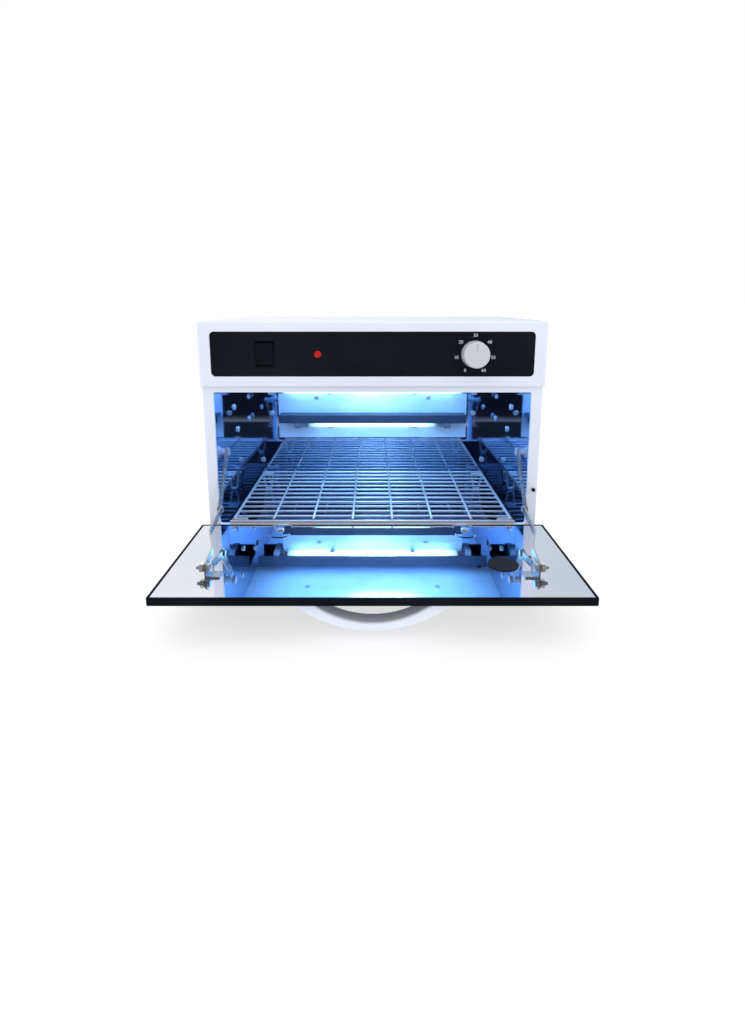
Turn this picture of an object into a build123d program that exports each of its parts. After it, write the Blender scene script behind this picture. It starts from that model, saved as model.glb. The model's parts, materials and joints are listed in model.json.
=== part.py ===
"""Desktop UV sterilizer cabinet: polished chamber, wire rack, drop-down door, control head.

X runs to the right, Y to the back and Z up. The origin is on the table, at the centre
of the space the cabinet takes up with its door open. All sizes are in millimetres.
"""

import os
from math import sqrt

from build123d import *

# ---------------------------------------------------------------- driving dimensions
body_width = 380.0
body_depth = 233.0
foot_height = 10.0
sill_height = 50.0  # mirror face of the open door, above the table
opening_height = 155.3
lintel_height = 6.7  # strip of frame above the opening
frame_thickness = 4.0
panel_sheet = 1.2

side_space = 8.0  # between the chamber wall and the outside of the body
rear_space = 27.0  # between the chamber's back and the outside of the body
chamber_width = body_width - 2 * side_space
chamber_depth = body_depth - rear_space
chamber_rise = opening_height + 0.7  # ceiling above the sill
opening_width = chamber_width - 8.0
floor_drop = 22.0  # chamber floor below the sill
liner_sheet = 0.8

head_width = body_width + 4.0
head_height = 72.0
head_overhang = 3.5
head_wall = 2.5
head_front_wall = 7.0
glass_width = head_width - 29.0
glass_margin = 11.6  # white rim under the glass
glass_thickness = 4.0
glass_corner = 5.0

door_width = body_width + 16.0
door_thickness = 7.0
door_gap = 1.0  # between the closed door and the frame
head_gap = 0.8  # between the closed door and the head
tail_reach = 2.5  # door behind its hinge, short enough to swing past the frame
door_reach = opening_height + lintel_height + door_thickness + door_gap - head_gap
edging_width = door_thickness / 2 - 1.0
outer_glass = 3.4
mirror_sheet = 1.2
mirror_recess = 0.2

rack_inset = 2.0  # front wire behind the frame's front face
rack_rear_gap = 8.0
rack_side_gap = 20.0
rack_width = chamber_width - 2 * rack_side_gap
rack_length = chamber_depth - rack_inset - rack_rear_gap
cross_wires = 13
long_wires = 8
frame_wire = 1.8  # radii
thin_wire = 1.4

stud_inset = 22.0  # wall pivot of the stay, behind the frame's front face
stud_rise = 81.0  # and above the sill
bracket_reach = 126.0  # door pivot of the stay, in front of the frame
bracket_rise = 8.0
upper_link_length = 70.0
lower_link_length = 106.0
link_sheet = 1.5
side_clearance = 0.3
running_clearance = 0.05

tube_radius = 8.0
upper_tube_length = 262.0
lower_tube_length = 188.0
tube_cap = 12.0
upper_tube_rise = chamber_rise - tube_radius - 17.0
lower_tube_rise = chamber_rise - 74.5

# ------------------------------------------------------------------- derived places
inlet_flange = 2.0
front_y = (door_reach - body_depth - inlet_flange) / 2
back_y = front_y + body_depth
body_top = sill_height + opening_height + lintel_height
head_top = body_top + head_height
head_front = front_y - head_overhang
floor_z = sill_height - floor_drop
ceiling_z = sill_height + chamber_rise
wall_x = chamber_width / 2
chamber_back = front_y + chamber_depth
door_under = sill_height - door_thickness
hinge_y = front_y - door_gap - door_thickness / 2
hinge_z = sill_height - door_thickness / 2
door_tail = hinge_y + tail_reach
door_nose = front_y - door_reach

os.makedirs("parts", exist_ok=True)


def block(x, y, z, mode=Mode.ADD):
    """Box between two values of each coordinate."""
    middle = ((x[0] + x[1]) / 2, (y[0] + y[1]) / 2, (z[0] + z[1]) / 2)
    with Locations(middle):
        Box(abs(x[1] - x[0]), abs(y[1] - y[0]), abs(z[1] - z[0]), mode=mode)


def rod(start, end, radius, mode=Mode.ADD):
    """Round bar from one point to another."""
    run = Vector(end) - Vector(start)
    with Locations(Plane(origin=start, z_dir=run)):
        Cylinder(radius, run.length, align=(Align.CENTER, Align.CENTER, Align.MIN), mode=mode)


def bent_wire(points, radius, bend):
    """Round wire along straight runs joined by equal bends."""
    with BuildLine() as route:
        FilletPolyline(*points, radius=bend)
    with BuildSketch(Plane(origin=route.line @ 0, z_dir=route.line % 0)) as section:
        Circle(radius)
    sweep(section.sketch, path=route.line)


def facing(y):
    """Plane across the cabinet at y, drawn as seen from the front."""
    return Plane.XZ.offset(-y)


def finish(part, name):
    """Label a finished piece and write it out."""
    part.label = name
    export_step(part, f"parts/{name}.step")


# ------------------------------------------------------------------------ base and feet
base_top = foot_height + panel_sheet
half_body = body_width / 2

with BuildPart() as base_pan:
    block(
        (panel_sheet - half_body, half_body - panel_sheet),
        (front_y + frame_thickness, back_y - panel_sheet),
        (foot_height, base_top),
    )
finish(base_pan.part, "base_pan")

foot_radius = 11.0
foot_inset = 26.0
foot_centre_y = (front_y + back_y) / 2
foot_spacing_x = body_width - 2 * foot_inset
foot_spacing_y = body_depth - 2 * foot_inset

with BuildPart() as rubber_feet:
    with BuildSketch(Plane.XY):
        with Locations((0, foot_centre_y)):
            with GridLocations(foot_spacing_x, foot_spacing_y, 2, 2):
                Circle(foot_radius)
    extrude(amount=foot_height, taper=-4)
finish(rubber_feet.part, "rubber_feet")

# ------------------------------------------------------------------------- outer panels
side_flange = 6.0

for side, name in ((-1, "left_side_panel"), (1, "right_side_panel")):
    with BuildPart() as side_panel:
        depth = (front_y + frame_thickness, back_y - panel_sheet)
        web = (side * (half_body - panel_sheet), side * half_body)
        flange = (side * (half_body - side_flange), side * half_body)
        block(web, depth, (foot_height, body_top))
        block(flange, depth, (base_top, base_top + panel_sheet))
        block(flange, depth, (body_top - panel_sheet, body_top))
    finish(side_panel.part, name)

slot_pitch = 14.0
slot_size = (40.0, 4.0)
inlet_x = 130.0
inlet_z = 66.0
inlet_size = (28.0, 20.0)
inlet_clearance = 0.3

with BuildPart() as back_cover:
    block((-half_body, half_body), (back_y - panel_sheet, back_y), (foot_height, body_top))
    with BuildSketch(facing(back_y)):
        with Locations((0, sill_height + chamber_rise - 20)):
            with GridLocations(3 * slot_size[0] / 2, slot_pitch / 2, 3, 3):
                SlotOverall(slot_size[0], slot_size[1])
        with Locations((inlet_x, inlet_z)):
            Rectangle(inlet_size[0] + 2 * inlet_clearance, inlet_size[1] + 2 * inlet_clearance)
    extrude(amount=panel_sheet, mode=Mode.SUBTRACT)
finish(back_cover.part, "back_cover")

# -------------------------------------------------------------------------- front frame
opening_corner = 3.0
tongue_x = 104.0
tongue_width = 12.0
tongue_thickness = 3.0
tongue_clearance = 0.3
plunger_x = wall_x + 3.2
plunger_z = sill_height + 42.0
plunger_radius = 2.0
plunger_proud = 2.5
magnet_x = 150.0
magnet_radius = 3.0
magnet_cover = 0.6  # skin of the frame left in front of the magnets
lintel_z = body_top - lintel_height / 2

with BuildPart() as front_frame:
    with BuildSketch(facing(front_y + frame_thickness)):
        with Locations((0, (foot_height + body_top) / 2)):
            Rectangle(body_width, body_top - foot_height)
        with Locations((0, sill_height + opening_height / 2)):
            RectangleRounded(opening_width, opening_height, opening_corner, mode=Mode.SUBTRACT)
        with Locations((-tongue_x, hinge_z), (tongue_x, hinge_z)):
            Rectangle(
                tongue_width + 2 * tongue_clearance,
                tongue_thickness + 2 * tongue_clearance,
                mode=Mode.SUBTRACT,
            )
        with Locations((plunger_x, plunger_z)):
            Circle(plunger_radius + running_clearance, mode=Mode.SUBTRACT)
    extrude(amount=frame_thickness)
    with BuildSketch(facing(front_y + frame_thickness)):
        with Locations((-magnet_x, lintel_z), (magnet_x, lintel_z)):
            Circle(magnet_radius)
    extrude(amount=frame_thickness - magnet_cover, mode=Mode.SUBTRACT)
    fillet(front_frame.edges().filter_by(Axis.Z).group_by(Axis.Y)[0].group_by(Axis.X)[0], 1.5)
    fillet(front_frame.edges().filter_by(Axis.Z).group_by(Axis.Y)[0].group_by(Axis.X)[-1], 1.5)
finish(front_frame.part, "front_frame")

with BuildPart() as frame_magnets:
    with BuildSketch(facing(front_y + frame_thickness)):
        with Locations((-magnet_x, lintel_z), (magnet_x, lintel_z)):
            Circle(magnet_radius)
    extrude(amount=frame_thickness - magnet_cover)
finish(frame_magnets.part, "frame_magnets")

# ------------------------------------------------------------------------ chamber liner
liner_front = front_y + frame_thickness + 0.2
sill_lip_y = front_y + 7.0
liner_bottom = floor_z - liner_sheet
screw_shank = 1.5
screw_hole = screw_shank + 0.2
screw_head = 4.0
screw_dome = 2.2
screw_reach = 2.4
reflector_sheet = 1.0
reflector_face = chamber_back - reflector_sheet

# Screws of the liner: a point on the sheet and the direction the head faces.
side_screw_places = ((99, 37), (83, 70), (10, 37), (10, 70))  # from the back and the ceiling
wall_screws = [
    ((side * wall_x, chamber_back - inwards, ceiling_z - drop), (-side, 0, 0))
    for side in (-1, 1)
    for inwards, drop in side_screw_places
]
reflector_screws = [((x, reflector_face, ceiling_z - 40), (0, -1, 0)) for x in (-83, 83)]
back_screws = [
    ((side * (wall_x - inwards), chamber_back, z), (0, -1, 0))
    for side in (-1, 1)
    for inwards, z in ((32, ceiling_z - 64), (16, sill_height + 20))
]
ceiling_screws = [((x, chamber_back - 65, ceiling_z), (0, 0, -1)) for x in (-95, 95)]


def screw_holes(screws):
    """Clearance holes through the sheet for a row of screws."""
    for point, head_side in screws:
        back = Vector(*point) - screw_reach * Vector(*head_side)
        front = Vector(*point) + liner_sheet * Vector(*head_side)
        rod(back, front, screw_hole, mode=Mode.SUBTRACT)


def dome_screws(screws):
    """Screws with domed heads, one at each point."""
    for point, head_side in screws:
        with BuildPart(Plane(origin=point, z_dir=head_side), mode=Mode.PRIVATE) as screw:
            Cylinder(screw_head, screw_dome, align=(Align.CENTER, Align.CENTER, Align.MIN))
            fillet(screw.edges().sort_by(Axis(point, head_side))[-1], screw_dome * 0.6)
            Cylinder(screw_shank, screw_reach, align=(Align.CENTER, Align.CENTER, Align.MAX))
        add(screw.part)


with BuildPart() as liner_floor:
    block((-wall_x, wall_x), (sill_lip_y, chamber_back), (liner_bottom, floor_z))
    block((-wall_x, wall_x), (sill_lip_y, sill_lip_y + liner_sheet), (liner_bottom, sill_height - 0.4))
finish(liner_floor.part, "liner_floor")

with BuildPart() as liner_ceiling:
    block((-wall_x, wall_x), (liner_front, chamber_back), (ceiling_z, ceiling_z + liner_sheet))
    screw_holes(ceiling_screws)
finish(liner_ceiling.part, "liner_ceiling")

grommet_x = wall_x - 14.0
grommet_z = ceiling_z - 6.2
grommet_radius = 6.0
grommet_neck = 4.5
cable_hole = 3.0
reflector_half = upper_tube_length / 2 + 9.0
reflector_low = ceiling_z - 101.0
reflector_high = ceiling_z - 2.0

with BuildPart() as liner_back:
    block(
        (-wall_x, wall_x),
        (chamber_back, chamber_back + liner_sheet),
        (liner_bottom, ceiling_z + liner_sheet),
    )
    screw_holes(back_screws + reflector_screws)
    with BuildSketch(facing(chamber_back + liner_sheet)):
        with Locations((grommet_x, grommet_z)):
            Circle(grommet_neck)
    extrude(amount=liner_sheet, mode=Mode.SUBTRACT)
finish(liner_back.part, "liner_back")

with BuildPart() as lamp_reflector:
    block(
        (-reflector_half, reflector_half),
        (reflector_face, chamber_back),
        (reflector_low, reflector_high),
    )
    screw_holes(reflector_screws)
finish(lamp_reflector.part, "lamp_reflector")

stud_y = front_y + stud_inset
stud_z = sill_height + stud_rise
stud_thread = 3.0

for side, name in ((-1, "liner_left"), (1, "liner_right")):
    with BuildPart() as liner_side:
        block(
            (side * wall_x, side * (wall_x + liner_sheet)),
            (liner_front, chamber_back + liner_sheet),
            (liner_bottom, ceiling_z + liner_sheet),
        )
        screw_holes([screw for screw in wall_screws if screw[1][0] == -side])
        rod(
            (side * (wall_x - 1), stud_y, stud_z),
            (side * (wall_x + 2), stud_y, stud_z),
            stud_thread,
            mode=Mode.SUBTRACT,
        )
    finish(liner_side.part, name)

with BuildPart() as liner_screws:
    dome_screws(wall_screws + back_screws + reflector_screws + ceiling_screws)
finish(liner_screws.part, "liner_screws")

with BuildPart() as cable_grommet:
    rod((grommet_x, chamber_back, grommet_z), (grommet_x, chamber_back - 2.5, grommet_z), grommet_radius)
    rod(
        (grommet_x, chamber_back + 3, grommet_z),
        (grommet_x, chamber_back, grommet_z),
        grommet_neck,
    )
    rod(
        (grommet_x, chamber_back + 4, grommet_z),
        (grommet_x, chamber_back - 4, grommet_z),
        cable_hole,
        mode=Mode.SUBTRACT,
    )
finish(cable_grommet.part, "cable_grommet")

# -------------------------------------------------------------------------------- lamps
upper_tube_y = chamber_back - tube_radius - 2.5
lower_tube_y = chamber_back - tube_radius - 3.5
lamps = (
    (upper_tube_length, upper_tube_y, sill_height + upper_tube_rise),
    (lower_tube_length, lower_tube_y, sill_height + lower_tube_rise),
)
pin_length = 6.0
holder_width = 9.0
holder_radius = tube_radius + 2.0

for (length, y, z), name in zip(lamps, ("upper_lamp_tube", "lower_lamp_tube")):
    with BuildPart() as lamp_tube:
        rod((-length / 2, y, z), (length / 2, y, z), tube_radius)
    finish(lamp_tube.part, name)

with BuildPart() as lamp_caps:
    for length, y, z in lamps:
        for side in (-1, 1):
            inner = side * length / 2
            outer = side * (length / 2 + tube_cap)
            rod((inner, y, z), (outer, y, z), tube_radius + 0.3)
            for rise in (-2.4, 2.4):
                rod((outer, y, z + rise), (outer + side * pin_length, y, z + rise), 1.1)
finish(lamp_caps.part, "lamp_caps")

with BuildPart() as lamp_holders:
    for length, y, z in lamps:
        for side in (-1, 1):
            inner = side * (length / 2 + tube_cap)
            outer = inner + side * holder_width
            rod((inner, y, z), (outer, y, z), holder_radius)
            wall = chamber_back if abs(inner) > reflector_half else reflector_face
            block((inner, outer), (y, wall), (z - holder_radius, z + holder_radius))
            for rise in (-2.4, 2.4):
                pin_end = inner + side * (pin_length + 0.2)
                rod((inner, y, z + rise), (pin_end, y, z + rise), 1.3, mode=Mode.SUBTRACT)
finish(lamp_holders.part, "lamp_holders")

hood_sheet = 1.0
# Width, tube it belongs to, and its lower and upper edges from the tube's centre.
hoods = (
    (chamber_width - 14.0, lamps[0], -4.0, holder_radius + 2.5),
    (273.0, lamps[1], -0.5, holder_radius + 1.2),
)

with BuildPart() as lamp_hoods:
    for width, (length, y, z), low, high in hoods:
        span = (-width / 2, width / 2)
        hood_front = y - holder_radius - 1.5
        block(span, (hood_front, hood_front + hood_sheet), (z + low, z + high))
        block(span, (hood_front, reflector_face), (z + high - hood_sheet, z + high))
finish(lamp_hoods.part, "lamp_hoods")

clip_width = 7.0
clip_x = 62.0
clip_inner = tube_radius + 0.3
clip_outer = clip_inner + 0.9

with BuildPart() as lamp_clips:
    for length, y, z in lamps:
        for x in (-clip_x, clip_x):
            with BuildSketch(Plane.YZ.offset(x - clip_width / 2)):
                with Locations((y, z)):
                    Circle(clip_outer)
                    Circle(clip_inner, mode=Mode.SUBTRACT)
                with Locations((y - clip_outer, z)):
                    Rectangle(clip_outer, 2 * clip_outer, mode=Mode.SUBTRACT)
                with Locations(((y + clip_inner + reflector_face) / 2, z)):
                    Rectangle(reflector_face - y - clip_inner, 4)
            extrude(amount=clip_width)
finish(lamp_clips.part, "lamp_clips")

# --------------------------------------------------------------------------------- rack
rack_front = front_y + rack_inset
rack_back = rack_front + rack_length
cross_z = sill_height + 0.4 + frame_wire
long_z = cross_z + frame_wire + thin_wire - 0.5
cross_pitch = rack_length / (cross_wires - 1)
front_wire_half = rack_width / 2 + 4.0
foot_span = 15.0
foot_setback = 8.2
foot_inboard = 6.0  # of the rack's side wires, clear of the stays
foot_wire = 1.5

with BuildPart() as wire_rack:
    for index in range(cross_wires):
        y = rack_front + index * cross_pitch
        edge = index in (0, cross_wires - 1)
        half = front_wire_half if edge else rack_width / 2 + frame_wire
        rod((-half, y, cross_z), (half, y, cross_z), frame_wire if edge else thin_wire)
    for index in range(long_wires):
        x = -rack_width / 2 + index * rack_width / (long_wires - 1)
        edge = index in (0, long_wires - 1)
        rod((x, rack_front, long_z), (x, rack_back, long_z), frame_wire if edge else thin_wire)
    for side in (-1, 1):
        for y in (rack_front + foot_setback, rack_back - foot_setback):
            x = side * (rack_width / 2 - foot_inboard)
            bent_wire(
                (
                    (x - foot_span / 2, y, cross_z),
                    (x - foot_span / 4, y, floor_z + foot_wire),
                    (x + foot_span / 4, y, floor_z + foot_wire),
                    (x + foot_span / 2, y, cross_z),
                ),
                foot_wire,
                3.0,
            )
            rod((x - foot_span / 2 - 1, y, cross_z), (x + foot_span / 2 + 1, y, cross_z), foot_wire)
finish(wire_rack.part, "wire_rack")

# --------------------------------------------------------------------------------- door
half_door = door_width / 2
door_mid_y = (door_tail + door_nose) / 2
door_length = door_tail - door_nose
notch_width = tongue_width + 2 * tongue_clearance
knuckle_radius = 2.9
notch_depth = door_tail - hinge_y + knuckle_radius + 0.6
panel_width = door_width - 2 * edging_width
panel_length = door_length - 2 * edging_width
glass_top = door_under + outer_glass
mirror_top = sill_height - mirror_recess
mirror_bottom = mirror_top - mirror_sheet
pin_radius = 1.4

cover_width = 23.0
cover_length = 34.5
cover_sheet = 0.8
cover_tail = door_tail - edging_width
cover_corner = 11.0
cover_screws = [((x, front_y - 19, mirror_top + cover_sheet), (0, 0, 1)) for x in (-tongue_x, tongue_x)]


def hinge_notches():
    """Clearance in the door's back edge for the two hinge tongues."""
    for x in (-tongue_x, tongue_x):
        block(
            (x - notch_width / 2, x + notch_width / 2),
            (door_tail - notch_depth, door_tail + 1),
            (door_under - 1, sill_height + 1),
            mode=Mode.SUBTRACT,
        )


def hinge_pin_holes():
    """Bores for the hinge pins, on both sides of each notch."""
    for x in (-tongue_x, tongue_x):
        reach = tongue_width / 2 + 5
        rod((x - reach, hinge_y, hinge_z), (x + reach, hinge_y, hinge_z), pin_radius, mode=Mode.SUBTRACT)


with BuildPart() as door_edging:
    with BuildSketch(Plane.XY.offset(door_under)):
        with Locations((0, door_mid_y)):
            RectangleRounded(door_width, door_length, 1.5)
            Rectangle(panel_width, panel_length, mode=Mode.SUBTRACT)
    extrude(amount=door_thickness)
    hinge_notches()
    hinge_pin_holes()
finish(door_edging.part, "door_edging")

handle_screw_x = 64.0
handle_y = door_nose + 16.0
screw_radius = 2.0

with BuildPart() as door_outer_glass:
    with BuildSketch(Plane.XY.offset(door_under)):
        with Locations((0, door_mid_y)):
            Rectangle(panel_width, panel_length)
        with Locations((-handle_screw_x, handle_y), (handle_screw_x, handle_y)):
            Circle(screw_radius + 0.3, mode=Mode.SUBTRACT)
    extrude(amount=outer_glass)
    hinge_notches()
    hinge_pin_holes()
finish(door_outer_glass.part, "door_outer_glass")

with BuildPart() as door_core:
    with BuildSketch(Plane.XY.offset(glass_top)):
        with Locations((0, door_mid_y)):
            Rectangle(panel_width, panel_length)
        with Locations((-handle_screw_x, handle_y), (handle_screw_x, handle_y)):
            Circle(2 * screw_radius, mode=Mode.SUBTRACT)
        with Locations((-magnet_x, door_nose + 7), (magnet_x, door_nose + 7)):
            Circle(magnet_radius, mode=Mode.SUBTRACT)
    extrude(amount=mirror_bottom - glass_top)
    hinge_notches()
    hinge_pin_holes()
    screw_holes(cover_screws)
finish(door_core.part, "door_core")

with BuildPart() as door_mirror:
    with BuildSketch(Plane.XY.offset(mirror_bottom)):
        with Locations((0, door_mid_y)):
            Rectangle(panel_width, panel_length)
    extrude(amount=mirror_sheet)
    hinge_notches()
    screw_holes(cover_screws)
finish(door_mirror.part, "door_mirror")

with BuildPart() as hinge_covers:
    with BuildSketch(Plane.XY.offset(mirror_top)):
        for x in (-tongue_x, tongue_x):
            with Locations((x, cover_tail - cover_length / 2)):
                RectangleRounded(cover_width, cover_length, cover_corner)
            with Locations((x, cover_tail - cover_corner)):
                Rectangle(cover_width, 2 * cover_corner)
    extrude(amount=cover_sheet)
    hinge_notches()
    screw_holes(cover_screws)
finish(hinge_covers.part, "hinge_covers")

with BuildPart() as hinge_cover_screws:
    dome_screws(cover_screws)
finish(hinge_cover_screws.part, "hinge_cover_screws")

pad_place = (129.0, front_y - 103.0, mirror_top)
pad_radius = 15.0
pad_thickness = 0.8

with BuildPart() as door_pad:
    with Locations(pad_place):
        Cylinder(pad_radius, pad_thickness, align=(Align.CENTER, Align.CENTER, Align.MIN))
    fillet(door_pad.edges().group_by(Axis.Z)[-1], pad_thickness / 2)
finish(door_pad.part, "door_pad")

with BuildPart() as door_magnets:
    with BuildSketch(Plane.XY.offset(glass_top)):
        with Locations((-magnet_x, door_nose + 7), (magnet_x, door_nose + 7)):
            Circle(magnet_radius)
    extrude(amount=mirror_bottom - glass_top)
finish(door_magnets.part, "door_magnets")

with BuildPart() as hinge_pins:
    for x in (-tongue_x, tongue_x):
        reach = tongue_width / 2 + 5
        rod((x - reach, hinge_y, hinge_z), (x + reach, hinge_y, hinge_z), pin_radius)
finish(hinge_pins.part, "hinge_pins")

tongue_back = front_y + frame_thickness
flange_drop = 16.0

with BuildPart() as hinge_tongues:
    for x in (-tongue_x, tongue_x):
        span = (x - tongue_width / 2, x + tongue_width / 2)
        rod((span[0], hinge_y, hinge_z), (span[1], hinge_y, hinge_z), knuckle_radius)
        block(
            span,
            (hinge_y, tongue_back + 2),
            (hinge_z - tongue_thickness / 2, hinge_z + tongue_thickness / 2),
        )
        block(span, (tongue_back, tongue_back + 2), (hinge_z - flange_drop, hinge_z))
        rod(
            (span[0] - 1, hinge_y, hinge_z),
            (span[1] + 1, hinge_y, hinge_z),
            pin_radius + running_clearance,
            mode=Mode.SUBTRACT,
        )
finish(hinge_tongues.part, "hinge_tongues")

handle_span = 150.0
handle_gap = 112.0
handle_drop = 29.5
grip_thickness = 8.5
handle_depth = 17.0

with BuildPart() as door_handle:
    with BuildSketch(facing(handle_y + handle_depth / 2)):
        with BuildLine():
            ThreePointArc(
                (-handle_span / 2, door_under),
                (0, door_under - handle_drop),
                (handle_span / 2, door_under),
            )
            Line((handle_span / 2, door_under), (-handle_span / 2, door_under))
        make_face()
        with BuildLine():
            ThreePointArc(
                (-handle_gap / 2, door_under),
                (0, door_under - handle_drop + grip_thickness),
                (handle_gap / 2, door_under),
            )
            Line((handle_gap / 2, door_under), (-handle_gap / 2, door_under))
        make_face(mode=Mode.SUBTRACT)
    extrude(amount=handle_depth)
    fillet(door_handle.edges().filter_by(GeomType.CIRCLE), 2.0)
    for x in (-handle_screw_x, handle_screw_x):
        rod((x, handle_y, door_under + 1), (x, handle_y, door_under - 5), screw_radius, mode=Mode.SUBTRACT)
finish(door_handle.part, "door_handle")

with BuildPart() as handle_screws:
    for x in (-handle_screw_x, handle_screw_x):
        rod((x, handle_y, glass_top), (x, handle_y, door_under - 5), screw_radius)
        rod((x, handle_y, glass_top), (x, handle_y, mirror_bottom - 0.2), 2 * screw_radius - 0.3)
finish(handle_screws.part, "handle_screws")

# -------------------------------------------------------------------------- door stays
bracket_y = front_y - bracket_reach
bracket_z = sill_height + bracket_rise
stay_run = Vector(0, bracket_y - stud_y, bracket_z - stud_z)
along = (stay_run.length**2 + upper_link_length**2 - lower_link_length**2) / (2 * stay_run.length)
aside = sqrt(upper_link_length**2 - along**2)
stay_dir = stay_run.normalized()
elbow = Vector(0, stud_y, stud_z) + along * stay_dir + aside * Vector(0, -stay_dir.Z, stay_dir.Y)

upper_link_x = wall_x - 10.0  # outer face
lower_link_x = upper_link_x - link_sheet - side_clearance
bracket_link_x = wall_x - 23.0  # outer face of the lower link at the door
upper_link_radius = 5.5
lower_link_radius = 4.0
pivot_radius = 2.5
rivet_radius = 3.6
rivet_height = 1.4
bolt_radius = 2.0
ear_sheet = 1.5
ear_x = bracket_link_x - link_sheet - side_clearance
ear_radius = 6.0


def make_upper_link(side, name):
    """Wide flat link, hung on the wall stud."""
    with BuildPart() as link:
        with BuildSketch(Plane.YZ.offset(side * (upper_link_x - link_sheet))):
            with Locations((stud_y, stud_z), (elbow.Y, elbow.Z)):
                Circle(upper_link_radius)
            make_hull()
            with Locations((stud_y, stud_z)):
                Circle(pivot_radius + running_clearance, mode=Mode.SUBTRACT)
            for share in (0.28, 0.46, 0.64):
                y = stud_y + share * (elbow.Y - stud_y)
                z = stud_z + share * (elbow.Z - stud_z)
                with Locations((y, z)):
                    Circle(1.6, mode=Mode.SUBTRACT)
        extrude(amount=side * link_sheet)
        rod(
            (side * upper_link_x, elbow.Y, elbow.Z),
            (side * (upper_link_x + rivet_height), elbow.Y, elbow.Z),
            rivet_radius,
        )
    finish(link.part, name)


def make_lower_link(side, name):
    """Narrow link from the elbow, set inwards to the door bracket."""
    run = Vector(0, bracket_y - elbow.Y, bracket_z - elbow.Z)
    slope = run.normalized()
    near = lower_link_x - link_sheet / 2
    far = bracket_link_x - link_sheet / 2
    bend_start = run.length * 0.45
    bend_end = run.length * 0.75
    tip = run.length + lower_link_radius
    half = link_sheet / 2
    with BuildPart() as link:
        with BuildSketch(Plane(origin=elbow, x_dir=slope, z_dir=(0, slope.Z, -slope.Y))):
            with BuildLine():
                Polyline(
                    (-lower_link_radius, side * (near - half)),
                    (bend_start, side * (near - half)),
                    (bend_end, side * (far - half)),
                    (tip, side * (far - half)),
                    (tip, side * (far + half)),
                    (bend_end, side * (far + half)),
                    (bend_start, side * (near + half)),
                    (-lower_link_radius, side * (near + half)),
                    close=True,
                )
            make_face()
        extrude(amount=lower_link_radius, both=True)
        fillet(link.edges().filter_by(Axis.X), lower_link_radius - 0.1)
        rod(
            (side * (bracket_link_x - 3), bracket_y, bracket_z),
            (side * (bracket_link_x + 3), bracket_y, bracket_z),
            bolt_radius + running_clearance,
            mode=Mode.SUBTRACT,
        )
        rod(
            (side * (lower_link_x - link_sheet), elbow.Y, elbow.Z),
            (side * (lower_link_x - link_sheet - rivet_height), elbow.Y, elbow.Z),
            rivet_radius,
        )
    finish(link.part, name)


def make_bracket(side, name):
    """Angle bracket on the door's mirror face, with a rounded ear for the pivot bolt."""
    foot = (side * ear_x, side * (ear_x - 14))
    with BuildPart() as bracket:
        with BuildSketch(Plane.YZ.offset(side * (ear_x - ear_sheet))):
            with Locations((bracket_y, bracket_z)):
                Circle(ear_radius)
            with Locations((bracket_y, (bracket_z + mirror_top) / 2)):
                Rectangle(2 * ear_radius, bracket_z - mirror_top)
            with Locations((bracket_y, bracket_z)):
                Circle(bolt_radius, mode=Mode.SUBTRACT)
        extrude(amount=side * ear_sheet)
        block(foot, (bracket_y - ear_radius, bracket_y + ear_radius), (mirror_top, mirror_top + ear_sheet))
    finish(bracket.part, name)


for side, word in ((-1, "left"), (1, "right")):
    make_upper_link(side, f"{word}_stay_upper_link")
    make_lower_link(side, f"{word}_stay_lower_link")
    make_bracket(side, f"{word}_stay_bracket")

with BuildPart() as stay_studs:
    for side in (-1, 1):
        spacer_end = upper_link_x + side_clearance
        pin_end = upper_link_x - link_sheet - side_clearance
        spots = ((wall_x + 2, wall_x, stud_thread), (wall_x, wall_x - 2, 6.5), (wall_x - 2, spacer_end, 4.0))
        spots += ((spacer_end, pin_end, pivot_radius), (pin_end, pin_end - 2, 4.5))
        for outer, inner, radius in spots:
            rod((side * outer, stud_y, stud_z), (side * inner, stud_y, stud_z), radius)
finish(stay_studs.part, "stay_studs")

bolt_end = bracket_link_x + 7.0
nut_start = bracket_link_x + side_clearance

with BuildPart() as stay_bolts:
    for side in (-1, 1):
        head_start = ear_x - ear_sheet
        rod((side * head_start, bracket_y, bracket_z), (side * bolt_end, bracket_y, bracket_z), bolt_radius)
        rod(
            (side * (head_start - 2.2), bracket_y, bracket_z),
            (side * head_start, bracket_y, bracket_z),
            3.8,
        )
finish(stay_bolts.part, "stay_bolts")

with BuildPart() as stay_nuts:
    for side in (-1, 1):
        with BuildSketch(Plane.YZ.offset(side * nut_start)):
            with Locations((bracket_y, bracket_z)):
                RegularPolygon(4.4, 6)
                Circle(bolt_radius, mode=Mode.SUBTRACT)
        extrude(amount=side * 3.6)
finish(stay_nuts.part, "stay_nuts")

# ------------------------------------------------------------------------ safety switch
switch_front = front_y + frame_thickness
switch_back = liner_front + 12.0

with BuildPart() as door_switch_plunger:
    rod(
        (plunger_x, front_y - plunger_proud, plunger_z),
        (plunger_x, switch_front + 3, plunger_z),
        plunger_radius,
    )
finish(door_switch_plunger.part, "door_switch_plunger")

with BuildPart() as door_switch:
    block((wall_x + 1.1, half_body - 1.5), (switch_front, switch_back), (plunger_z - 9, plunger_z + 9))
    rod(
        (plunger_x, switch_front - 1, plunger_z),
        (plunger_x, switch_front + 6, plunger_z),
        plunger_radius + running_clearance,
        mode=Mode.SUBTRACT,
    )
finish(door_switch.part, "door_switch")

# --------------------------------------------------------------------------------- head
half_head = head_width / 2
glass_bottom = body_top + glass_margin
glass_high = head_top - glass_margin
glass_mid = (glass_bottom + glass_high) / 2
glass_height = glass_high - glass_bottom
glass_back = head_front + glass_thickness
knob_x = 112.0
rocker_x = -118.0
lens_x = -60.0
shaft_radius = 3.0
rocker_window = (22.0, 30.0)
lens_radius = 4.0
head_floor_top = body_top + panel_sheet
wall_back = head_front + head_front_wall


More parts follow.
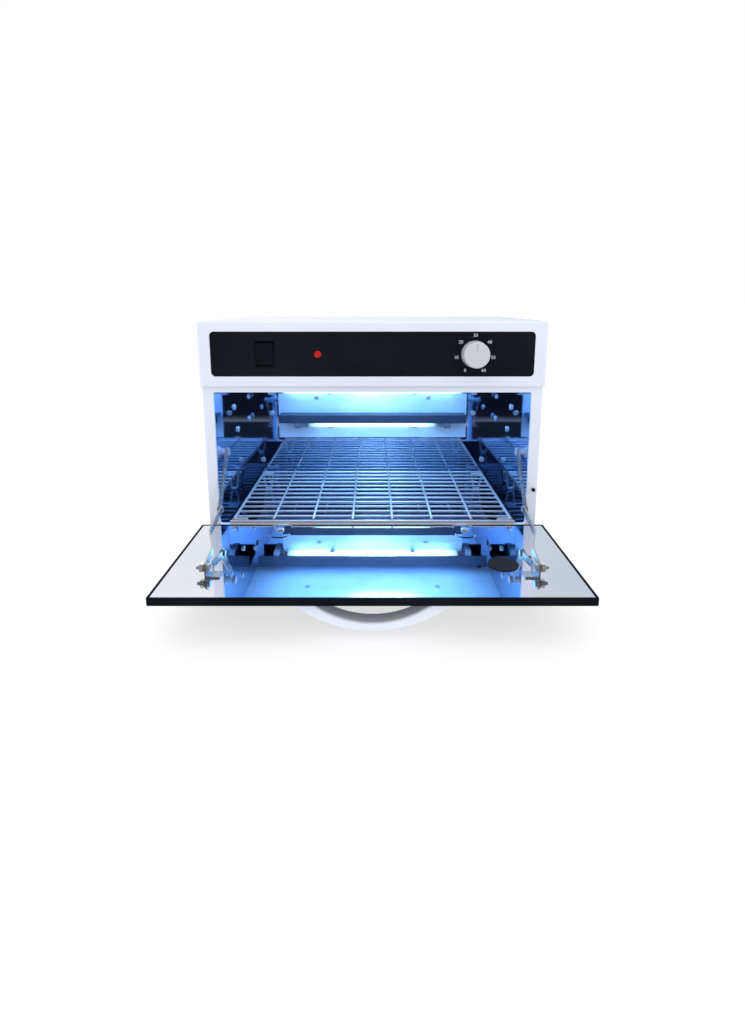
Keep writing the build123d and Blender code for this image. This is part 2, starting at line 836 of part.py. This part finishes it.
def control_cutouts():
    """Openings for the timer shaft, the rocker and the indicator."""
    with Locations((knob_x, glass_mid)):
        Circle(shaft_radius + 1, mode=Mode.SUBTRACT)
    with Locations((rocker_x, glass_mid)):
        Rectangle(rocker_window[0], rocker_window[1], mode=Mode.SUBTRACT)
    with Locations((lens_x, glass_mid)):
        Circle(lens_radius, mode=Mode.SUBTRACT)


with BuildPart() as head_shell:
    with BuildSketch(Plane.XY.offset(body_top)):
        with Locations((0, (head_front + back_y) / 2)):
            RectangleRounded(head_width, back_y - head_front, 4.0)
    extrude(amount=head_height)
    fillet(head_shell.edges().group_by(Axis.Z)[-1], 3.0)
    fillet(head_shell.edges().group_by(Axis.Z)[0], 1.0)
    block(
        (head_wall - half_head, half_head - head_wall),
        (wall_back, back_y - head_wall),
        (body_top - 1, head_top - head_wall),
        mode=Mode.SUBTRACT,
    )
    with BuildSketch(facing(glass_back)):
        with Locations((0, glass_mid)):
            RectangleRounded(glass_width + 0.4, glass_height + 0.4, glass_corner)
    extrude(amount=glass_thickness + 1, mode=Mode.SUBTRACT)
    with BuildSketch(facing(wall_back + 1)):
        with Locations((knob_x, glass_mid)):
            Circle(shaft_radius + 1)
        with Locations((rocker_x, glass_mid)):
            Rectangle(rocker_window[0], rocker_window[1])
        with Locations((lens_x, glass_mid)):
            Circle(lens_radius)
    extrude(amount=head_front_wall, mode=Mode.SUBTRACT)
finish(head_shell.part, "head_shell")

with BuildPart() as head_glass:
    with BuildSketch(facing(glass_back)):
        with Locations((0, glass_mid)):
            RectangleRounded(glass_width, glass_height, glass_corner)
        control_cutouts()
    extrude(amount=glass_thickness)
finish(head_glass.part, "head_glass")

with BuildPart() as head_floor:
    block(
        (head_wall - half_head + 0.2, half_head - head_wall - 0.2),
        (wall_back + 0.2, back_y - head_wall - 0.2),
        (body_top, head_floor_top),
    )
finish(head_floor.part, "head_floor")

with BuildPart() as indicator_lens:
    rod((lens_x, wall_back, glass_mid), (lens_x, head_front - 1.2, glass_mid), lens_radius - 0.2)
    fillet(indicator_lens.edges().group_by(Axis.Y)[0], 1.0)
finish(indicator_lens.part, "indicator_lens")

knob_radius = 15.0
knob_depth = 14.0
knob_front = head_front - 0.6 - knob_depth

with BuildPart() as timer_knob:
    with BuildSketch(facing(head_front - 0.6)):
        with Locations((knob_x, glass_mid)):
            Circle(knob_radius)
    extrude(amount=knob_depth, taper=4)
    fillet(timer_knob.edges().group_by(Axis.Y)[0], 1.5)
    with BuildSketch(facing(head_front - 4)):
        with Locations((knob_x, glass_mid)):
            with PolarLocations(knob_radius + 1.2, 24):
                Circle(2.0)
    extrude(amount=knob_depth, mode=Mode.SUBTRACT)
    block(
        (knob_x - 0.8, knob_x + 0.8),
        (knob_front - 1, knob_front + 0.8),
        (glass_mid + 4, glass_mid + 12),
        mode=Mode.SUBTRACT,
    )
    rod((knob_x, knob_front + 4, glass_mid), (knob_x, wall_back + 3, glass_mid), shaft_radius)
finish(timer_knob.part, "timer_knob")

with BuildPart() as timer_movement:
    block((knob_x - 21, knob_x + 21), (wall_back, wall_back + 32), (glass_mid - 21, glass_mid + 21))
    rod(
        (knob_x, wall_back - 1, glass_mid),
        (knob_x, wall_back + 5, glass_mid),
        shaft_radius + running_clearance,
        mode=Mode.SUBTRACT,
    )
finish(timer_movement.part, "timer_movement")

bezel = 1.5
rocker_depth = 9.0
rocker_width = rocker_window[0] - 2 * bezel - 0.6
rocker_height = rocker_window[1] - 2 * bezel - 2.4
rocker_pivot_y = head_front + 3.0
trunnion_radius = 1.2
trunnion_end = rocker_width / 2 + 1.0

with BuildPart() as power_switch_body:
    block(
        (rocker_x - rocker_window[0] / 2 + 0.1, rocker_x + rocker_window[0] / 2 - 0.1),
        (head_front, wall_back + 18),
        (glass_mid - rocker_window[1] / 2 + 0.1, glass_mid + rocker_window[1] / 2 - 0.1),
    )
    block(
        (rocker_x - rocker_window[0] / 2 + bezel, rocker_x + rocker_window[0] / 2 - bezel),
        (head_front - 1, rocker_pivot_y + rocker_depth),
        (glass_mid - rocker_window[1] / 2 + bezel, glass_mid + rocker_window[1] / 2 - bezel),
        mode=Mode.SUBTRACT,
    )
    rod(
        (rocker_x - trunnion_end - 0.1, rocker_pivot_y, glass_mid),
        (rocker_x + trunnion_end + 0.1, rocker_pivot_y, glass_mid),
        trunnion_radius + running_clearance,
        mode=Mode.SUBTRACT,
    )
finish(power_switch_body.part, "power_switch_body")

with BuildPart() as power_rocker:
    with BuildSketch(Plane.YZ.offset(rocker_x - rocker_width / 2)):
        with BuildLine():
            Polyline(
                (rocker_pivot_y + 2.6, glass_mid),
                (rocker_pivot_y - 1.6, glass_mid - rocker_height / 2),
                (rocker_pivot_y - 2.4, glass_mid - rocker_height / 2),
                (rocker_pivot_y - 3.6, glass_mid),
                (rocker_pivot_y - 7.4, glass_mid + rocker_height / 2),
                (rocker_pivot_y - 3.0, glass_mid + rocker_height / 2),
                close=True,
            )
        make_face()
    extrude(amount=rocker_width)
    rod(
        (rocker_x - trunnion_end, rocker_pivot_y, glass_mid),
        (rocker_x + trunnion_end, rocker_pivot_y, glass_mid),
        trunnion_radius,
    )
finish(power_rocker.part, "power_rocker")

# -------------------------------------------------------------------- electrical parts
ballast_size = (84.0, 40.0, 30.0)
ballast_places = ((-80, back_y - 50), (40, back_y - 50))
starter_radius = 10.5

with BuildPart() as ballasts:
    for x, y in ballast_places:
        block(
            (x - ballast_size[0] / 2, x + ballast_size[0] / 2),
            (y - ballast_size[1] / 2, y + ballast_size[1] / 2),
            (head_floor_top, head_floor_top + ballast_size[2]),
        )
        block(
            (x - ballast_size[0] / 2 - 12, x + ballast_size[0] / 2 + 12),
            (y - 10, y + 10),
            (head_floor_top, head_floor_top + 1.5),
        )
finish(ballasts.part, "ballasts")

with BuildPart() as starters:
    for x, y in ballast_places:
        rod((x, y - 55, head_floor_top), (x, y - 55, head_floor_top + 36), starter_radius)
finish(starters.part, "starters")

with BuildPart() as terminal_block:
    block(
        (inlet_x - 30, inlet_x + 24),
        (back_y - 60, back_y - 42),
        (head_floor_top, head_floor_top + 14),
    )
    with BuildSketch(Plane.XY.offset(head_floor_top + 14)):
        with Locations((inlet_x - 3, back_y - 51)):
            with GridLocations(9, 10, 6, 2):
                Circle(2.2)
    extrude(amount=-6, mode=Mode.SUBTRACT)
finish(terminal_block.part, "terminal_block")

inlet_depth = 17.0
socket_size = (24.0, 16.0)
socket_depth = 14.0
flange_size = (50.0, 24.0)

with BuildPart() as mains_inlet:
    block(
        (inlet_x - flange_size[0] / 2, inlet_x + flange_size[0] / 2),
        (back_y, back_y + inlet_flange),
        (inlet_z - flange_size[1] / 2, inlet_z + flange_size[1] / 2),
    )
    block(
        (inlet_x - inlet_size[0] / 2, inlet_x + inlet_size[0] / 2),
        (back_y - inlet_depth, back_y),
        (inlet_z - inlet_size[1] / 2, inlet_z + inlet_size[1] / 2),
    )
    block(
        (inlet_x - socket_size[0] / 2, inlet_x + socket_size[0] / 2),
        (back_y + inlet_flange - socket_depth, back_y + inlet_flange),
        (inlet_z - socket_size[1] / 2, inlet_z + socket_size[1] / 2),
        mode=Mode.SUBTRACT,
    )
finish(mains_inlet.part, "mains_inlet")

with BuildPart() as inlet_pins:
    floor_y = back_y + inlet_flange - socket_depth
    for x, rise in ((-7, -2), (0, 2), (7, -2)):
        block(
            (inlet_x + x - 1, inlet_x + x + 1),
            (floor_y, floor_y + 9),
            (inlet_z + rise - 2, inlet_z + rise + 2),
        )
finish(inlet_pins.part, "inlet_pins")

with BuildPart() as back_cover_screws:
    for x in (-half_body + 3.5, half_body - 3.5):
        for z in (foot_height + 20, (foot_height + body_top) / 2, body_top - 20):
            rod((x, back_y, z), (x, back_y + 1.6, z), 3.0)
finish(back_cover_screws.part, "cover_screws")
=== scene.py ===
"""Looks of the desktop UV sterilizer cabinet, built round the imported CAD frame."""

import json
import math

import bpy
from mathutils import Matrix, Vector

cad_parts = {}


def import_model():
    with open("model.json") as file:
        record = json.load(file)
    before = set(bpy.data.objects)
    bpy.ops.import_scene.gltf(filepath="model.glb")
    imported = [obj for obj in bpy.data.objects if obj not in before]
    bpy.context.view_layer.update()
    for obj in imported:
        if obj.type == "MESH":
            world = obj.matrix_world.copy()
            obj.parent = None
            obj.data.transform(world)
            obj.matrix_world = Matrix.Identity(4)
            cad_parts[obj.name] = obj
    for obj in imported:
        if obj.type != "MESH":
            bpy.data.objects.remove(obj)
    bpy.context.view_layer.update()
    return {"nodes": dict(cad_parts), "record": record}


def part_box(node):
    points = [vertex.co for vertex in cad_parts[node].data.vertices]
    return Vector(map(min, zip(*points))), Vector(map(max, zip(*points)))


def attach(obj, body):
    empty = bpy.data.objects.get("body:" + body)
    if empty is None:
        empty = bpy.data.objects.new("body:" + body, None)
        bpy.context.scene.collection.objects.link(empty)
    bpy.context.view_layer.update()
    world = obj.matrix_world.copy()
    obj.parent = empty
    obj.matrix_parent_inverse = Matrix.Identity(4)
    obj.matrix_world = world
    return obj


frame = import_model()
nodes = frame["nodes"]


# ------------------------------------------------------------------ material helpers
def blank(name):
    """A new node material and its parts."""
    material = bpy.data.materials.new(name)
    material.use_nodes = True
    tree = material.node_tree
    return material, tree, tree.nodes["Principled BSDF"]


def coordinates(tree, scale):
    """Object coordinates stretched by a scale, one number for each axis."""
    where = tree.nodes.new("ShaderNodeTexCoord")
    mapping = tree.nodes.new("ShaderNodeMapping")
    mapping.inputs["Scale"].default_value = scale
    tree.links.new(where.outputs["Object"], mapping.inputs["Vector"])
    return mapping.outputs["Vector"]


def noise(tree, scale, detail=3.0, stretch=(1, 1, 1)):
    """Noise with features about 1/scale metres across."""
    texture = tree.nodes.new("ShaderNodeTexNoise")
    texture.inputs["Scale"].default_value = scale
    texture.inputs["Detail"].default_value = detail
    tree.links.new(coordinates(tree, stretch), texture.inputs["Vector"])
    return texture.outputs["Fac"]


def spread(tree, value, low, high, start=0.3, end=0.7):
    """A value between start and end, spread over low to high."""
    remap = tree.nodes.new("ShaderNodeMapRange")
    remap.inputs["From Min"].default_value = start
    remap.inputs["From Max"].default_value = end
    remap.inputs["To Min"].default_value = low
    remap.inputs["To Max"].default_value = high
    tree.links.new(value, remap.inputs["Value"])
    return remap.outputs["Result"]


def blend_colours(tree, value, first, second):
    """Colour going from first to second with a value."""
    ramp = tree.nodes.new("ShaderNodeValToRGB")
    ramp.color_ramp.elements[0].position = 0.3
    ramp.color_ramp.elements[0].color = (*first, 1)
    ramp.color_ramp.elements[1].position = 0.7
    ramp.color_ramp.elements[1].color = (*second, 1)
    tree.links.new(value, ramp.inputs["Fac"])
    return ramp.outputs["Color"]


def bump(tree, value, strength, distance):
    """Normal from a height value."""
    node = tree.nodes.new("ShaderNodeBump")
    node.inputs["Strength"].default_value = strength
    node.inputs["Distance"].default_value = distance
    tree.links.new(value, node.inputs["Height"])
    return node.outputs["Normal"]


def surface(name, colours, roughness, metal=0.0, grain=900.0, grain_depth=0.00005, stretch=(1, 1, 1),
            coat=0.0, patch=14.0, specular=0.5):
    """A solid finish: two close colours in soft patches, uneven roughness and a fine grain."""
    material, tree, shader = blank(name)
    patches = noise(tree, patch)
    fine = noise(tree, grain, 4.0, stretch)
    tree.links.new(blend_colours(tree, patches, *colours), shader.inputs["Base Color"])
    tree.links.new(spread(tree, fine, *roughness), shader.inputs["Roughness"])
    tree.links.new(bump(tree, fine, 0.6, grain_depth), shader.inputs["Normal"])
    shader.inputs["Metallic"].default_value = metal
    shader.inputs["Coat Weight"].default_value = coat
    shader.inputs["Coat Roughness"].default_value = 0.06
    shader.inputs["Specular IOR Level"].default_value = specular
    return material


def mirror_sheet(name, colours, wave=0.00012, roughness=(0.02, 0.07)):
    """Mirror-polished sheet steel: faint drawn lines and the slow waves of thin sheet."""
    material, tree, shader = blank(name)
    lines = noise(tree, 260.0, 3.0, (0.12, 1, 1))
    waves = noise(tree, 16.0, 1.0)
    tree.links.new(blend_colours(tree, waves, *colours), shader.inputs["Base Color"])
    tree.links.new(spread(tree, lines, *roughness), shader.inputs["Roughness"])
    tree.links.new(bump(tree, waves, 0.5, wave), shader.inputs["Normal"])
    shader.inputs["Metallic"].default_value = 1.0
    return material


DARK_END = 0.022  # blackened stretch at each end of a lamp's glass
END_GLOW = 0.08


def lit_tube(name, half_length, strength):
    """Glowing lamp glass, dimmer and warmer towards its blackened ends."""
    material, tree, shader = blank(name)
    where = tree.nodes.new("ShaderNodeTexCoord")
    split = tree.nodes.new("ShaderNodeSeparateXYZ")
    tree.links.new(where.outputs["Object"], split.inputs["Vector"])
    away = tree.nodes.new("ShaderNodeMath")
    away.operation = "ABSOLUTE"
    tree.links.new(split.outputs["X"], away.inputs[0])
    cloud = spread(tree, noise(tree, 40.0), 0.9, 1.1)
    fade = spread(tree, away.outputs["Value"], 1.0, END_GLOW, half_length - DARK_END, half_length)
    level = tree.nodes.new("ShaderNodeMath")
    level.operation = "MULTIPLY"
    tree.links.new(cloud, level.inputs[0])
    tree.links.new(fade, level.inputs[1])
    power = tree.nodes.new("ShaderNodeMath")
    power.operation = "MULTIPLY"
    power.inputs[1].default_value = strength
    tree.links.new(level.outputs["Value"], power.inputs[0])
    tree.links.new(power.outputs["Value"], shader.inputs["Emission Strength"])
    tree.links.new(
        blend_colours(tree, level.outputs["Value"], (0.5, 0.4, 0.36), (0.8, 0.95, 1.0)),
        shader.inputs["Base Color"],
    )
    shader.inputs["Emission Color"].default_value = (0.42, 0.86, 1.0, 1)
    shader.inputs["Roughness"].default_value = 0.12
    return material


# -------------------------------------------------------------------------- materials
# The bluish cast of WHITE is painted blue light; the paint and plastic themselves are plain white.
WHITE = ((0.76, 0.80, 0.92), (0.80, 0.84, 0.95))
STEEL = ((0.45, 0.47, 0.50), (0.58, 0.60, 0.63))

white_paint = surface("white_powder_coat", WHITE, (0.34, 0.5), grain=1400, grain_depth=0.00004)
white_plastic = surface("white_gloss_plastic", WHITE, (0.18, 0.3), grain=700, grain_depth=0.00002, coat=0.25)
dark_glass = surface("black_tinted_glass", ((0.006, 0.007, 0.011), (0.012, 0.013, 0.018)), (0.03, 0.09),
                     grain=60, grain_depth=0.00001, specular=0.4)
black_plastic = surface("black_plastic", ((0.003, 0.004, 0.006), (0.007, 0.009, 0.012)), (0.4, 0.6),
                        grain=2200, grain_depth=0.00006, specular=0.02)
grey_plastic = surface("satin_grey_plastic", ((0.58, 0.59, 0.63), (0.66, 0.67, 0.7)), (0.22, 0.34), coat=0.2)
# The blue of the liner steel is painted blue lamp light; the steel itself is grey.
liner_steel_painted_blue_light = mirror_sheet("polished_liner_steel", ((0.46, 0.58, 0.80), (0.55, 0.66, 0.86)), 0.000015)
# The dark blue of the floor steel is painted shade and painted blue lamp light; the steel itself is grey.
floor_steel_painted_shade_and_blue = mirror_sheet("polished_floor_steel", ((0.19, 0.25, 0.39), (0.27, 0.34, 0.50)), 0.000008,
                           (0.03, 0.07))
door_steel = mirror_sheet("polished_door_steel", ((0.76, 0.80, 0.88), (0.83, 0.86, 0.92)), 0.00002,
                          (0.01, 0.03))
# The cyan of the reflector is painted lamp light; the sheet itself is not cyan.
satin_reflector = surface("satin_reflector", ((0.52, 0.72, 0.92), (0.64, 0.82, 0.97)), (0.3, 0.45),
                          metal=0.1, grain=300, grain_depth=0.00003, stretch=(0.1, 1, 1), patch=25)
chrome = surface("chrome_wire", ((0.90, 0.87, 0.85), (0.97, 0.95, 0.92)), (0.08, 0.2), metal=0.65, grain=500,
                 grain_depth=0.00004, patch=60)
bright_steel = surface("bright_screw_steel", ((0.84, 0.84, 0.84), (0.95, 0.95, 0.94)), (0.08, 0.2),
                       metal=0.72, grain=1500, grain_depth=0.00003, patch=120)
drawn_steel = surface("drawn_stay_steel", STEEL, (0.14, 0.32), metal=0.8, grain=500, grain_depth=0.00004,
                      stretch=(1, 0.15, 0.3), patch=50)
satin_aluminium = surface("satin_aluminium", ((0.62, 0.63, 0.65), (0.74, 0.75, 0.77)), (0.25, 0.4),
                          metal=1.0, grain=900, stretch=(1, 0.1, 0.1), patch=80)
# The lamp holders are white plastic; this dark blue-grey is painted shade and painted blue lamp light.
holder_painted_shade_and_blue = surface("lamp_holder_plastic", ((0.16, 0.20, 0.28), (0.22, 0.26, 0.34)), (0.35, 0.5),
                         grain=1800)
hood_paint = surface("dark_hood_paint", ((0.030, 0.040, 0.066), (0.046, 0.058, 0.090)), (0.3, 0.5),
                     grain=1200, specular=0.3)
rubber = surface("moulded_rubber", ((0.010, 0.010, 0.009), (0.022, 0.022, 0.02)), (0.6, 0.85), grain=1500,
                 grain_depth=0.00012, specular=0.2)
core_steel = surface("varnished_core_steel", ((0.10, 0.10, 0.11), (0.2, 0.2, 0.21)), (0.35, 0.6), metal=0.6,
                     grain=900, stretch=(1, 1, 6))
zinc = surface("zinc_sheet", ((0.42, 0.43, 0.45), (0.55, 0.56, 0.57)), (0.3, 0.55), metal=1.0, grain=90,
               grain_depth=0.00003)
brass = surface("plated_brass", ((0.62, 0.47, 0.2), (0.75, 0.58, 0.28)), (0.15, 0.3), metal=1.0)
red_lens = surface("red_lens", ((0.45, 0.01, 0.008), (0.6, 0.02, 0.012)), (0.08, 0.16), grain=400, coat=0.6)
print_ink = surface("dial_print", ((0.62, 0.64, 0.68), (0.74, 0.76, 0.8)), (0.4, 0.6), grain=3000)

finishes = {
    "white_paint": white_paint,
    "white_plastic": white_plastic,
    "dark_glass": dark_glass,
    "polished_steel": liner_steel_painted_blue_light,
    "black_plastic": black_plastic,
    "knob_plastic": grey_plastic,
    "chrome_wire": chrome,
    "bright_screws": bright_steel,
    "stay_steel": drawn_steel,
    "cap_metal": satin_aluminium,
    "white_holder": holder_painted_shade_and_blue,
    "dark_paint": hood_paint,
    "rubber": rubber,
    "core_steel": core_steel,
    "inner_steel": zinc,
    "pin_brass": brass,
    "red_lens": red_lens,
    "satin_reflector": satin_reflector,
}
special = {"door_mirror": door_steel, "hinge_covers": door_steel, "liner_floor": floor_steel_painted_shade_and_blue}
TUBE_GLOW = 2.6
for tube in ("upper_lamp_tube", "lower_lamp_tube"):
    low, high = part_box(tube)
    special[tube] = lit_tube(tube + "_glow", (high[0] - low[0]) / 2, TUBE_GLOW)

slots = {entry["node"]: entry["material_slot"] for entry in frame["record"]["subparts"]}
for name, node in nodes.items():
    material = special.get(name) or finishes[slots[name]]
    node.data.materials.clear()
    node.data.materials.append(material)

# Crisp edges catch a thin line of light.
EDGE_ROUNDING = 0.00035
EDGE_ANGLE = math.radians(50)
for name in ("front_frame", "head_glass", "power_rocker", "power_switch_body", "lamp_hoods", "mains_inlet",
             "left_stay_bracket", "right_stay_bracket", "hinge_covers", "back_cover"):
    bevel = nodes[name].modifiers.new("edge_rounding", "BEVEL")
    bevel.width = EDGE_ROUNDING
    bevel.segments = 2
    bevel.limit_method = "ANGLE"
    bevel.angle_limit = EDGE_ANGLE

# ----------------------------------------------------------------------- dial printing
DIAL_STEPS = 7
DIAL_RADIUS = 0.0205
DIAL_START = math.radians(-150)
DIAL_TURN = math.radians(300)
MINUTES_A_STEP = 10
NUMBER_SIZE = 0.005
PRINT_DEPTH = 0.00025

knob_low, knob_high = (Vector(corner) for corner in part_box("timer_knob"))
glass_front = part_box("head_glass")[0][1]
dial_centre = Vector(((knob_low.x + knob_high.x) / 2, glass_front, (knob_low.z + knob_high.z) / 2))


def printed(name, text, size, place):
    """Flat printed characters on the head glass."""
    curve = bpy.data.curves.new(name, "FONT")
    curve.body = text
    curve.size = size
    curve.extrude = PRINT_DEPTH / 2
    curve.align_x = "CENTER"
    curve.align_y = "CENTER"
    writing = bpy.data.objects.new(name + "_outline", curve)
    bpy.context.scene.collection.objects.link(writing)
    bpy.context.view_layer.update()
    mesh = bpy.data.meshes.new_from_object(writing)
    bpy.data.objects.remove(writing)
    piece = bpy.data.objects.new(name, mesh)
    piece.rotation_euler = (math.pi / 2, 0, 0)
    piece.location = place - Vector((0, PRINT_DEPTH / 2, 0))
    bpy.context.scene.collection.objects.link(piece)
    mesh.materials.clear()
    mesh.materials.append(print_ink)
    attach(piece, "cabinet")


for step in range(DIAL_STEPS):
    angle = DIAL_START + DIAL_TURN * step / (DIAL_STEPS - 1)
    offset = Vector((math.sin(angle), 0, math.cos(angle))) * DIAL_RADIUS
    printed(f"dial_number_{step}", str(step * MINUTES_A_STEP), NUMBER_SIZE, dial_centre + offset)

# ------------------------------------------------------------------------------- stage
front_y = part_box("front_frame")[0][1]
sill_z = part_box("door_mirror")[1][2]

CAMERA_BACK = 0.617  # in front of the cabinet
CAMERA_RISE = 0.252  # above the sill
CAMERA_TILT = math.radians(79)  # from straight down
SENSOR = 36.0
LENS = 19.842519685
CAMERA_SHIFT = -0.0935
CLIP_START = 0.01

camera_data = bpy.data.cameras.new("camera")
camera_data.sensor_width = SENSOR
camera_data.lens = LENS
camera_data.shift_y = CAMERA_SHIFT
camera_data.clip_start = CLIP_START
camera = bpy.data.objects.new("camera", camera_data)
camera.location = (0, front_y - CAMERA_BACK, sill_z + CAMERA_RISE)
camera.rotation_euler = (CAMERA_TILT, 0, 0)
bpy.context.scene.collection.objects.link(camera)
bpy.context.scene.camera = camera

FLOOR_HALF = 40.0
FLOOR_GLOW = 0.66  # keeps the floor pale and its shadows soft
ROOM_DARK = -0.50  # Y from which polished steel sees the floor as dark
ROOM_LIGHT = -0.30  # Y up to which it sees the pale floor
DIFFUSE_SKY = (1.02, 1.02, 1.03)
UNLIT_ROOM = (0.02, 0.024, 0.036)
UNLIT_FLOOR = (0.008, 0.010, 0.018)
LEFT_WALL = (1.0, 0.99, 0.97)
RIGHT_WALL = (0.66, 0.70, 0.76)
PLAIN_WHITE = (1.0, 1.0, 1.0)


def make_floor():
    """Pale floor, whose far parts look dark in the polished steel, like an unlit room."""
    mesh = bpy.data.meshes.new("floor")
    half = FLOOR_HALF
    corners = [(-half, -half, 0), (half, -half, 0), (half, half, 0), (-half, half, 0)]
    mesh.from_pydata(corners, [], [(0, 1, 2, 3)])
    floor = bpy.data.objects.new("floor", mesh)
    bpy.context.scene.collection.objects.link(floor)
    material, tree, shader = blank("pale_floor")
    grain = noise(tree, 60.0)
    speckle = blend_colours(tree, grain, (0.39, 0.39, 0.39), (0.41, 0.41, 0.41))
    tree.links.new(speckle, shader.inputs["Base Color"])
    shader.inputs["Emission Color"].default_value = (1, 1, 1, 1)
    shader.inputs["Emission Strength"].default_value = FLOOR_GLOW
    shader.inputs["Roughness"].default_value = 0.7
    shader.inputs["Specular IOR Level"].default_value = 0.1
    where = tree.nodes.new("ShaderNodeTexCoord")
    split = tree.nodes.new("ShaderNodeSeparateXYZ")
    tree.links.new(where.outputs["Object"], split.inputs["Vector"])
    far = spread(tree, split.outputs["Y"], 1.0, 0.0, ROOM_DARK, ROOM_LIGHT)
    path = tree.nodes.new("ShaderNodeLightPath")
    both = tree.nodes.new("ShaderNodeMath")
    both.operation = "MULTIPLY"
    tree.links.new(far, both.inputs[0])
    tree.links.new(path.outputs["Is Glossy Ray"], both.inputs[1])
    dark = tree.nodes.new("ShaderNodeEmission")
    dark.inputs["Color"].default_value = (*UNLIT_FLOOR, 1)
    mix = tree.nodes.new("ShaderNodeMixShader")
    tree.links.new(both.outputs["Value"], mix.inputs["Fac"])
    tree.links.new(shader.outputs["BSDF"], mix.inputs[1])
    tree.links.new(dark.outputs["Emission"], mix.inputs[2])
    tree.links.new(mix.outputs["Shader"], tree.nodes["Material Output"].inputs["Surface"])
    mesh.materials.append(material)


def world_mix(tree, factor, first, second):
    """Colour mix in the world's node tree."""
    mix = tree.nodes.new("ShaderNodeMix")
    mix.data_type = "RGBA"
    tree.links.new(factor, mix.inputs["Factor"])
    for socket, value in (("A", first), ("B", second)):
        if isinstance(value, tuple):
            mix.inputs[socket].default_value = (*value, 1)
        else:
            tree.links.new(value, mix.inputs[socket])
    return mix.outputs["Result"]


def make_world():
    """Even white light; polished steel sees a dim room in front of the cabinet and a pale one behind."""
    world = bpy.data.worlds.new("studio")
    bpy.context.scene.world = world
    world.use_nodes = True
    tree = world.node_tree
    background = tree.nodes["Background"]
    where = tree.nodes.new("ShaderNodeTexCoord")
    split = tree.nodes.new("ShaderNodeSeparateXYZ")
    tree.links.new(where.outputs["Generated"], split.inputs["Vector"])
    ramp = tree.nodes.new("ShaderNodeValToRGB")
    ramp.color_ramp.elements[0].position = 0.42
    ramp.color_ramp.elements[0].color = (0, 0, 0, 1)
    ramp.color_ramp.elements[1].position = 0.62
    ramp.color_ramp.elements[1].color = (1, 1, 1, 1)
    tree.links.new(spread(tree, split.outputs["Y"], 0.0, 1.0, -1.0, 1.0), ramp.inputs["Fac"])
    across = spread(tree, split.outputs["X"], 0.0, 1.0, -0.35, 0.35)
    wall = world_mix(tree, across, LEFT_WALL, RIGHT_WALL)
    room = world_mix(tree, ramp.outputs["Color"], UNLIT_ROOM, wall)
    path = tree.nodes.new("ShaderNodeLightPath")
    seen = world_mix(tree, path.outputs["Is Glossy Ray"], DIFFUSE_SKY, room)
    seen = world_mix(tree, path.outputs["Is Camera Ray"], seen, PLAIN_WHITE)
    tree.links.new(seen, background.inputs["Color"])


def area_light(name, place, target, size, power, colour=(1, 1, 1)):
    """Soft rectangular light aimed at a point."""
    data = bpy.data.lights.new(name, "AREA")
    data.shape = "RECTANGLE"
    data.size, data.size_y = size
    data.energy = power
    data.color = colour
    light = bpy.data.objects.new(name, data)
    light.location = place
    light.rotation_euler = (Vector(target) - Vector(place)).to_track_quat("-Z", "Y").to_euler()
    light.visible_glossy = False
    bpy.context.scene.collection.objects.link(light)


make_floor()
make_world()
CABINET_MIDDLE = (0, 0, 0.1)
CABINET_BACK = (0, 0.1, 0)
KEY_POWER, FILL_POWER, TOP_POWER = 4, 1.5, 1.6
area_light("key", (-0.5, -0.7, 1.7), CABINET_MIDDLE, (1.4, 1.0), KEY_POWER)
area_light("fill", (1.3, -1.1, 1.2), CABINET_MIDDLE, (0.8, 0.8), FILL_POWER)
area_light("top", (0, 0.9, 1.9), CABINET_BACK, (2.4, 1.6), TOP_POWER)

# Light of the two tubes, thrown on the ceiling, the reflector and the chamber as a whole.
BLUE = (0.05, 0.32, 1.0)
CYAN = (0.24, 0.54, 1.0)
PALE = (0.75, 0.93, 1.0)
ceiling_low, ceiling_high = (Vector(corner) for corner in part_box("liner_ceiling"))
back_low, back_high = (Vector(corner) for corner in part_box("lamp_reflector"))
ceiling_middle = (ceiling_low + ceiling_high) / 2
chamber_size = ceiling_high - ceiling_low
reflector_middle = (back_low + back_high) / 2
CEILING_WASH = 0.5
REFLECTOR_WASH = 0.06
CHAMBER_WASH = 0.4
CEILING_GLOW = 0.11
REFLECTOR_GLOW = 0.016
GLOW_RIGHT = 0.016  # bright patch of the ceiling, from its middle
GLOW_FORWARD = 0.012

ceiling_face = (0, ceiling_middle.y, ceiling_low.z)
glow_face = (GLOW_RIGHT, ceiling_middle.y - GLOW_FORWARD, ceiling_low.z)
reflector_face = (0, back_low.y, reflector_middle.z)
reflector_top = (0, back_low.y, back_high.z)


def below(point, drop):
    """A point lower down."""
    return point[0], point[1], point[2] - drop


def before(point, distance):
    """A point further to the front."""
    return point[0], point[1] - distance, point[2]


area_light(
    "ceiling_wash",
    below(ceiling_face, 0.045),
    ceiling_face,
    (chamber_size.x - 0.06, chamber_size.y - 0.03),
    CEILING_WASH,
    CYAN,
)
area_light(
    "reflector_wash",
    before(reflector_face, 0.06),
    reflector_face,
    (back_high.x - back_low.x - 0.03, 0.08),
    REFLECTOR_WASH,
    CYAN,
)
area_light(
    "chamber_wash",
    below(ceiling_face, 0.0004),
    (0, ceiling_middle.y, 0),
    (chamber_size.x - 0.01, chamber_size.y - 0.01),
    CHAMBER_WASH,
    BLUE,
)
area_light(
    "ceiling_glow",
    below(glow_face, 0.016),
    glow_face,
    (0.085, 0.045),
    CEILING_GLOW,
    PALE,
)
area_light(
    "reflector_glow",
    before(below(reflector_top, 0.026), 0.02),
    below(reflector_top, 0.028),
    (0.07, 0.012),
    REFLECTOR_GLOW,
    PALE,
)

bpy.context.scene.view_settings.view_transform = "Standard"
